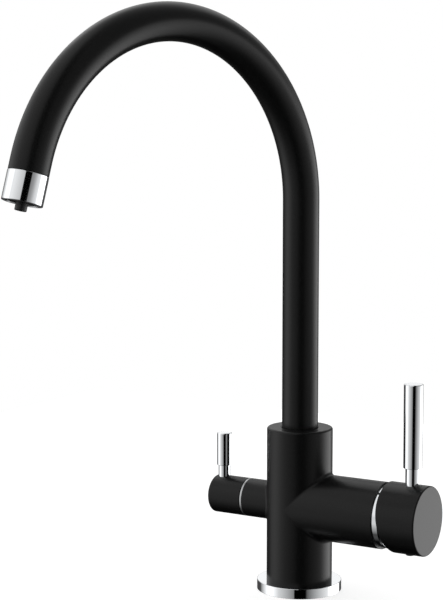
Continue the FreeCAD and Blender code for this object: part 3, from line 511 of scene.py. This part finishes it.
def polished_chrome(finishes):
    """Buffed and plated brass: sharp bright reflections, a touch softer in patches where it was wiped."""
    return grained("polished_chrome_plate", grain=14 * MM, roughness=(0.03, 0.07),
                   settings={"Base Color": finishes.chrome, "Metallic": 1.0})


def turned_brass(finishes):
    """Brass straight from the lathe: warm yellow, with a fine tool grain that blurs reflections."""
    return grained("turned_brass", grain=0.5 * MM, roughness=(0.2, 0.34), settings={"Metallic": 1.0},
                   flecks=(finishes.brass, finishes.brass_stain), bump=0.004 * MM)


def turned_steel(finishes):
    """Stainless steel rings, screws and clips: grey metal with a dull turned grain."""
    return grained("turned_stainless_steel", grain=0.4 * MM, roughness=(0.26, 0.4),
                   settings={"Metallic": 1.0}, flecks=(finishes.steel, finishes.steel_stain),
                   bump=0.004 * MM)


def moulded_acetal(finishes):
    """White moulded acetal: creamy, slightly waxy gloss."""
    return grained("moulded_white_acetal", grain=0.6 * MM, roughness=(0.34, 0.46), settings={"IOR": 1.48},
                   flecks=(finishes.acetal, finishes.acetal_shade), bump=0.006 * MM)


def ground_ceramic(finishes):
    """Ground and lapped alumina: near white, with an even low sheen."""
    return grained("ground_alumina", grain=0.3 * MM, roughness=(0.16, 0.26), settings={"IOR": 1.76},
                   flecks=(finishes.ceramic, finishes.acetal), bump=0.002 * MM)


def moulded_rubber(finishes):
    """Moulded nitrile rubber: dull dark grey with a soft bloom."""
    return grained("moulded_black_rubber", grain=0.5 * MM, roughness=(0.66, 0.82), settings={"IOR": 1.52},
                   flecks=(finishes.rubber, finishes.rubber_bloom), fade=(0.45, 0.75), bump=0.01 * MM)


def extruded_hose(finishes):
    """Extruded polyethylene hose: milky and waxy."""
    return grained("extruded_polyethylene", grain=2 * MM, roughness=(0.3, 0.4), settings={"IOR": 1.51},
                   flecks=(finishes.hose, finishes.hose_shade), bump=0.01 * MM)


def moulded_black_acetal(finishes):
    """Black moulded acetal: deep black with a fine matt texture from the mould."""
    return grained("moulded_black_acetal", grain=0.5 * MM, roughness=(0.36, 0.5), settings={"IOR": 1.48},
                   flecks=(finishes.black_plastic, finishes.rubber), fade=(0.55, 0.8), bump=0.01 * MM)


FINISHES = {
    "black_coating": satin_black_coating,
    "chrome_plate": polished_chrome,
    "turned_brass": turned_brass,
    "steel": turned_steel,
    "white_plastic": moulded_acetal,
    "ceramic": ground_ceramic,
    "black_rubber": moulded_rubber,
    "hose_plastic": extruded_hose,
    "black_plastic": moulded_black_acetal,
}
MADE = {}


def finish(slot):
    """The material of a slot, made once."""
    if slot not in MADE:
        MADE[slot] = FINISHES[slot](bpy.context.scene.tap_finishes)
    return MADE[slot]


# Pieces

class TAP_OT_spout(bpy.types.Operator):
    """Make the swan-neck tube of the spout"""
    bl_idname = "tap.spout"
    bl_label = "Make Spout Tube"

    def execute(self, context):
        sizes = context.scene.tap_spout
        quality = context.scene.tap_quality
        points, across, normals = spout_path(sizes, quality.along_bend)
        radii = np.full(len(points), sizes.diameter / 2)
        inside = tube_rows(points, across, normals, radii - sizes.wall, quality.around)
        radii[[0, -1]] -= sizes.rim
        outside = tube_rows(points, across, normals, radii, quality.around)
        grid = np.concatenate((outside, inside[::-1]))
        add_piece("spout_tube_skin", grid, None, "spout", "black_coating", "spout_tube")
        return {"FINISHED"}


def sleeve_corners(sizes):
    """Outline of the outlet sleeve, from the end of the tube down to its lip."""
    bore = sizes.sleeve_bore / 2
    mouth = sizes.sleeve_mouth / 2
    outer = sizes.sleeve_diameter / 2
    lip_top = sizes.sleeve_length - sizes.sleeve_lip
    return (
        (bore, 0.0, sizes.rim / 2),
        (outer, 0.0, sizes.rim),
        (outer, sizes.sleeve_length, sizes.sleeve_edge),
        (mouth, sizes.sleeve_length, sizes.rim),
        (mouth, lip_top, 0.0),
        (bore, lip_top, 0.0),
    )


class TAP_OT_outlet(bpy.types.Operator):
    """Make the plated sleeve at the end of the spout"""
    bl_idname = "tap.outlet"
    bl_label = "Make Outlet Sleeve"

    def execute(self, context):
        sizes = context.scene.tap_spout
        points, across, normals = spout_path(sizes, context.scene.tap_quality.along_bend)
        axis = np.cross(across[-1], normals[-1])
        turned_ring("outlet_sleeve", sleeve_corners(sizes), points[-1], axis, "spout", "chrome_plate",
                    "aerator_housing")
        return {"FINISHED"}


def lever_corners(sizes, edges):
    """Outline of a turned lever, from the foot of its tail to the top of its grip."""
    tail = sizes.tail / 2
    stem = sizes.stem / 2
    return (
        (0.0, sizes.tail_end, 0.0),
        (tail, sizes.tail_end, edges.step_edge),
        (tail, sizes.seat, edges.crease),
        (stem, sizes.seat, edges.crease),
        (stem, sizes.grip_start, edges.step_edge),
        (sizes.grip / 2, sizes.grip_start, edges.step_edge),
        (sizes.grip_top / 2, sizes.grip_end, edges.grip_edge),
        (0.0, sizes.grip_end, 0.0),
    )


class TAP_OT_levers(bpy.types.Operator):
    """Make the two plated levers"""
    bl_idname = "tap.levers"
    bl_label = "Make Levers"

    def execute(self, context):
        mixer = context.scene.tap_mixer_lever
        small = context.scene.tap_filter_lever
        edges = context.scene.tap_edges
        height = context.scene.tap_rings.arm_height
        turned_bar("mixer_lever_bar", lever_corners(mixer, edges), (mixer.place, 0.0, height), UP,
                   "mixer_handle", "chrome_plate", "mixer_lever")
        turned_bar("filter_lever_bar", lever_corners(small, edges), (-small.place, 0.0, height), UP,
                   "filter_handle", "chrome_plate", "filter_lever")
        return {"FINISHED"}


def base_ring_corners(sizes, edges):
    """Outline of the base ring, with the gasket's groove in its underside."""
    hole = sizes.base_hole / 2
    outer = sizes.base_diameter / 2
    groove_inner = sizes.groove_inner / 2
    groove_outer = sizes.groove_outer / 2
    return (
        (hole, 0.0, edges.crease),
        (groove_inner, 0.0, edges.crease),
        (groove_inner, sizes.groove_depth, edges.crease),
        (groove_outer, sizes.groove_depth, edges.crease),
        (groove_outer, 0.0, edges.crease),
        (outer, 0.0, edges.fine_edge),
        (outer, sizes.base_height, edges.base_edge),
        (hole, sizes.base_height, edges.crease),
    )


def cover_ring_corners(sizes, edges, dome_steps):
    """Outline of the cover ring: a skirt, a band and a dome.

    The dome is part of a ball round the pivot. At a distance d from the column, its radius is the root of
    (ball squared - (d - pivot) squared).
    """
    bore = sizes.cover_bore / 2
    skirt = sizes.cover_skirt / 2
    band = sizes.cover_diameter / 2
    ball = math.hypot(sizes.cover_dome - sizes.cover_pivot, band)
    places = np.linspace(sizes.cover_dome, sizes.cover_end, dome_steps)[1:]
    dome = np.sqrt(ball**2 - (places - sizes.cover_pivot) ** 2)
    return (
        (bore, sizes.cover_start, edges.crease),
        (skirt, sizes.cover_start, edges.crease),
        (skirt, sizes.cover_seat, edges.crease),
        (band, sizes.cover_seat, edges.crease),
        (band, sizes.cover_dome, edges.fine_edge),
        *((radius, place, 0.0) for radius, place in zip(dome, places)),
        (bore, sizes.cover_end, edges.fine_edge),
    )


def trim_ring_corners(sizes, edges):
    """Outline of the trim ring, a plain washer."""
    bore = sizes.trim_bore / 2
    outer = sizes.trim_diameter / 2
    return (
        (bore, sizes.trim_start, edges.crease),
        (outer, sizes.trim_start, edges.fine_edge),
        (outer, sizes.trim_end, edges.fine_edge),
        (bore, sizes.trim_end, edges.crease),
    )


class TAP_OT_rings(bpy.types.Operator):
    """Make the bright rings at the base and on the two arms"""
    bl_idname = "tap.rings"
    bl_label = "Make Bright Rings"

    def execute(self, context):
        sizes = context.scene.tap_rings
        edges = context.scene.tap_edges
        base = base_ring_corners(sizes, edges)
        cover = cover_ring_corners(sizes, edges, context.scene.tap_quality.arc)
        trim = trim_ring_corners(sizes, edges)
        arms = (0.0, 0.0, sizes.arm_height)
        turned_ring("base_ring_plated", base, (0.0, 0.0, 0.0), UP, "root", "chrome_plate", "base_ring")
        turned_ring("cover_ring_plated", cover, arms, RIGHT, "root", "chrome_plate", "cartridge_cover_ring")
        turned_ring("trim_ring_turned", trim, arms, -RIGHT, "root", "steel", "filter_trim_ring")
        return {"FINISHED"}


class TAP_OT_finish_nodes(bpy.types.Operator):
    """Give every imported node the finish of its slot"""
    bl_idname = "tap.finish_nodes"
    bl_label = "Finish Packed Pieces"

    def execute(self, context):
        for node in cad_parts.values():
            for holder in node.material_slots:
                # A packed material has its slot's name, with a number after a dot where it is a copy.
                slot = holder.material.name.split(".")[0]
                holder.material = finish(slot)
        return {"FINISHED"}


# Stage

# Edges of the studio's panels, in degrees of plan angle round from the camera.
FAR_END = 180
FAR_LEFT = -132
LEFT_PANEL = (-95, -80)
LEFT_INNER = -58
RIGHT_SIDE = 84
RIM_PANEL = (100, 130)
FAR_RIGHT = 145

# Degrees over which the black card's left edge darkens.
CARD_EDGE = 1

# The climb of a direction is -1 straight down and 1 straight up. The upper panels take over between these.
UPPER_FADE = (0.02, 0.2)

# The dark below gives way to the panels between these climbs.
DIP_FADE = (-0.8, -0.3)

WHITE = (1.0, 1.0, 1.0, 1.0)


def plan_direction(azimuth):
    """Level direction at an angle round from the front, towards the right."""
    return Vector((math.sin(azimuth), -math.cos(azimuth), 0.0))


def add_camera(sizes):
    """Camera at the photograph's viewing angle."""
    camera = bpy.data.cameras.new("studio_camera")
    camera.lens = sizes.lens
    camera.sensor_width = sizes.film
    holder = bpy.data.objects.new("studio_camera", camera)
    holder.location = plan_direction(sizes.azimuth) * sizes.distance
    holder.location.z = sizes.height
    forward = -plan_direction(sizes.heading) * math.cos(sizes.dip)
    forward.z = -math.sin(sizes.dip)
    holder.rotation_euler = forward.to_track_quat("-Z", "Y").to_euler()
    bpy.context.scene.collection.objects.link(holder)
    bpy.context.scene.camera = holder


def add_softbox(name, sizes, azimuth, aim):
    """Area lamp whose face has a given brightness, seen by gloss and not by the camera.

    Such a face sends out pi * brightness * area watts.
    """
    lamp = bpy.data.lights.new(name, "AREA")
    lamp.shape = "RECTANGLE"
    lamp.size = sizes.face_width
    lamp.size_y = sizes.face_length
    lamp.energy = sizes.brightness * math.pi * sizes.face_width * sizes.face_length
    holder = bpy.data.objects.new(name, lamp)
    holder.location = plan_direction(azimuth + sizes.turn) * sizes.distance
    holder.location.z = sizes.height
    target = Vector((0.0, 0.0, aim))
    holder.rotation_euler = (target - holder.location).to_track_quat("-Z", "Y").to_euler()
    holder.visible_camera = False
    bpy.context.scene.collection.objects.link(holder)


def panel_ring(tree, way_round, panels):
    """Brightness of a ring of panels, which runs straight from each (degrees, brightness) to the next."""
    brightest = max(brightness for degrees, brightness in panels)
    ramp = add_node(tree, "ShaderNodeValToRGB", links={"Fac": way_round})
    elements = ramp.color_ramp.elements
    # A new ramp already has two elements.
    for _ in panels[2:]:
        elements.new(1.0)
    for element, (degrees, brightness) in zip(elements, panels):
        element.position = (degrees + FAR_END) / (2 * FAR_END)
        element.color = (*(brightness / brightest,) * 3, 1.0)
    ring = add_node(tree, "ShaderNodeMath", {"operation": "MULTIPLY", 1: brightest},
                    {0: ramp.outputs["Color"]})
    return ring.outputs["Value"]


def black_card(left_edge, right_edge, softness, side, fade):
    """The tall black card beside the camera, with a sharp left edge and a softer right one."""
    left = math.degrees(left_edge)
    right = math.degrees(right_edge)
    return (left - CARD_EDGE, side), (left, 0.0), (right, 0.0), (right + math.degrees(softness), fade)


def low_panels(studio):
    """The panels round the horizon: white on the left, black by the camera, brightest at the right rear."""
    return (
        (-FAR_END, studio.far_level),
        (FAR_LEFT, studio.far_level),
        (LEFT_PANEL[0], studio.left_level),
        (LEFT_PANEL[1], studio.left_level),
        (LEFT_INNER, studio.left_inner),
        *black_card(studio.card_left, studio.card_right, studio.card_soft, studio.card_side,
                    studio.card_fade),
        (RIGHT_SIDE, studio.front_level),
        (RIM_PANEL[0], studio.rim_level),
        (RIM_PANEL[1], studio.rim_level),
        (FAR_RIGHT, studio.far_level),
    )


def upper_panels(studio):
    """The panels above the horizon: pale on the left and at the far end, dim on the right."""
    return (
        (-FAR_END, studio.upper_far),
        (FAR_LEFT, studio.upper_left),
        (LEFT_INNER, studio.upper_left),
        *black_card(studio.upper_card_left, studio.upper_card_right, studio.upper_soft, studio.upper_side,
                    studio.upper_fade),
        (RIGHT_SIDE, studio.upper_right),
        (RIM_PANEL[0], studio.upper_right),
        (RIM_PANEL[1], studio.upper_far),
        (FAR_END, studio.upper_far),
    )


def studio_light(tree, direction, studio, azimuth):
    """Brightness of the studio in a direction.

    The plan angle round from the camera picks a place on two rings of panels. The upper ring takes over from
    the low one as the direction climbs, and the low one fades as it dips.
    """
    towards = plan_direction(azimuth)
    rightwards = plan_direction(azimuth + math.pi / 2)
    near = add_node(tree, "ShaderNodeVectorMath", {"operation": "DOT_PRODUCT", 1: towards}, {0: direction})
    right = add_node(tree, "ShaderNodeVectorMath", {"operation": "DOT_PRODUCT", 1: rightwards},
                     {0: direction})
    turn = add_node(tree, "ShaderNodeMath", {"operation": "ARCTAN2"},
                    {0: right.outputs["Value"], 1: near.outputs["Value"]})
    way_round = add_node(tree, "ShaderNodeMapRange", {"From Min": -math.pi, "From Max": math.pi},
                         {"Value": turn.outputs["Value"]}).outputs["Result"]
    climb = add_node(tree, "ShaderNodeSeparateXYZ", links={"Vector": direction}).outputs["Z"]
    low = panel_ring(tree, way_round, low_panels(studio))
    upper = panel_ring(tree, way_round, upper_panels(studio))
    both = add_node(tree, "ShaderNodeMapRange", {"From Min": UPPER_FADE[0], "From Max": UPPER_FADE[1]},
                    {"Value": climb, "To Min": low, "To Max": upper})
    dip = add_node(tree, "ShaderNodeMapRange",
                   {"From Min": DIP_FADE[0], "From Max": DIP_FADE[1], "To Min": studio.dip_level},
                   {"Value": climb})
    light = add_node(tree, "ShaderNodeMath", {"operation": "MULTIPLY"},
                     {0: both.outputs["Result"], 1: dip.outputs["Result"]})
    return light.outputs["Value"]


def sharp_ray(tree, path):
    """One for the rays of a reflection or of something clear, else nought."""
    sharp = add_node(tree, "ShaderNodeMath", {"operation": "MAXIMUM"},
                     {0: path.outputs["Is Glossy Ray"], 1: path.outputs["Is Transmission Ray"]})
    return sharp.outputs["Value"]


def add_world(studio, azimuth):
    """White surroundings for the camera, and an even light for dull surfaces.

    Reflections show the studio's panels and its black card instead.
    """
    world = bpy.data.worlds.new("white_studio")
    bpy.context.scene.world = world
    world.use_nodes = True
    tree = world.node_tree
    tree.nodes.clear()
    ray = add_node(tree, "ShaderNodeTexCoord").outputs["Generated"]
    path = add_node(tree, "ShaderNodeLightPath")
    even = add_node(tree, "ShaderNodeBackground", {"Color": WHITE, "Strength": studio.fill})
    light = studio_light(tree, ray, studio, azimuth)
    panels = add_node(tree, "ShaderNodeBackground", links={"Color": light})
    plain = add_node(tree, "ShaderNodeBackground", {"Color": WHITE})
    lit = add_node(tree, "ShaderNodeMixShader", None,
                   {0: sharp_ray(tree, path), 1: even.outputs[0], 2: panels.outputs[0]})
    mixed = add_node(tree, "ShaderNodeMixShader", None,
                     {0: path.outputs["Is Camera Ray"], 1: lit.outputs[0], 2: plain.outputs[0]})
    add_node(tree, "ShaderNodeOutputWorld", links={"Surface": mixed.outputs[0]})


def paper_floor(sizes):
    """Pale paper, part of whose white shows whatever the light, so that only a soft shadow stays on it.

    The rays of a reflection pass through it to the studio's panels, as if it were as bright as they are.
    """
    material = bpy.data.materials.new("pale_paper_floor")
    material.use_nodes = True
    tree = material.node_tree
    tree.nodes.clear()
    path = add_node(tree, "ShaderNodeLightPath")
    glow = add_node(tree, "ShaderNodeMath", {"operation": "MULTIPLY", 1: sizes.glow},
                    {0: path.outputs["Is Camera Ray"]})
    paper = add_node(tree, "ShaderNodeBsdfDiffuse", {"Color": sizes.paper})
    white = add_node(tree, "ShaderNodeEmission", {"Color": WHITE}, {"Strength": glow.outputs["Value"]})
    shown = add_node(tree, "ShaderNodeAddShader", None, {0: paper.outputs[0], 1: white.outputs[0]})
    clear = add_node(tree, "ShaderNodeBsdfTransparent")
    mixed = add_node(tree, "ShaderNodeMixShader", None,
                     {0: sharp_ray(tree, path), 1: shown.outputs[0], 2: clear.outputs[0]})
    add_node(tree, "ShaderNodeOutputMaterial", links={"Surface": mixed.outputs[0]})
    return material


def add_floor(sizes):
    """Square floor, level with the deck."""
    half = sizes.side / 2
    corners = np.array(((-half, -half, 0.0), (half, -half, 0.0), (half, half, 0.0), (-half, half, 0.0)))
    mesh = bpy.data.meshes.new("studio_floor")
    mesh.from_pydata(corners, [], [(0, 1, 2, 3)])
    mesh.materials.append(paper_floor(sizes))
    floor = bpy.data.objects.new("studio_floor", mesh)
    bpy.context.scene.collection.objects.link(floor)


class TAP_OT_stage(bpy.types.Operator):
    """Set up the floor, the surroundings, the softboxes and the camera"""
    bl_idname = "tap.stage"
    bl_label = "Set Up Studio"

    def execute(self, context):
        scene = context.scene
        azimuth = scene.tap_camera.azimuth
        aim = scene.tap_studio.lamp_aim
        add_floor(scene.tap_floor)
        add_world(scene.tap_studio, azimuth)
        add_softbox("left_lamp", scene.tap_left_lamp, azimuth, aim)
        add_softbox("back_lamp", scene.tap_back_lamp, azimuth, aim)
        add_softbox("far_strip", scene.tap_far_strip, azimuth, aim)
        add_camera(scene.tap_camera)
        scene.view_settings.view_transform = "Standard"
        return {"FINISHED"}


class TAP_PT_panel(bpy.types.Panel):
    """Sidebar panel that lists the tap's operators and settings"""
    bl_idname = "TAP_PT_panel"
    bl_label = "Mixer Tap"
    bl_space_type = "VIEW_3D"
    bl_region_type = "UI"
    bl_category = "Mixer Tap"

    def draw(self, context):
        for operator in OPERATORS:
            self.layout.operator(operator.bl_idname)
        for group, settings in SETTINGS.items():
            for name in settings.__annotations__:
                self.layout.prop(getattr(context.scene, group), name)


SETTINGS = {
    "tap_spout": TapSpoutSizes,
    "tap_mixer_lever": TapMixerLever,
    "tap_filter_lever": TapFilterLever,
    "tap_rings": TapRingSizes,
    "tap_edges": TapEdgeSizes,
    "tap_finishes": TapFinishes,
    "tap_camera": TapCamera,
    "tap_floor": TapFloor,
    "tap_studio": TapStudio,
    "tap_left_lamp": TapLeftLamp,
    "tap_back_lamp": TapBackLamp,
    "tap_far_strip": TapFarStrip,
    "tap_quality": TapQuality,
}
OPERATORS = (TAP_OT_spout, TAP_OT_outlet, TAP_OT_levers, TAP_OT_rings, TAP_OT_finish_nodes, TAP_OT_stage)


def register():
    """Register the settings, the operators and the panel."""
    for group, settings in SETTINGS.items():
        bpy.utils.register_class(settings)
        setattr(bpy.types.Scene, group, PointerProperty(type=settings))
    for cls in (*OPERATORS, TAP_PT_panel):
        bpy.utils.register_class(cls)


def unregister():
    """Take away what register added."""
    for cls in (TAP_PT_panel, *reversed(OPERATORS)):
        bpy.utils.unregister_class(cls)
    for group, settings in SETTINGS.items():
        delattr(bpy.types.Scene, group)
        bpy.utils.unregister_class(settings)


def main():
    register()
    bpy.ops.tap.spout()
    bpy.ops.tap.outlet()
    bpy.ops.tap.levers()
    bpy.ops.tap.rings()
    bpy.ops.tap.finish_nodes()
    bpy.ops.tap.stage()


if __name__ == "__main__":
    main()
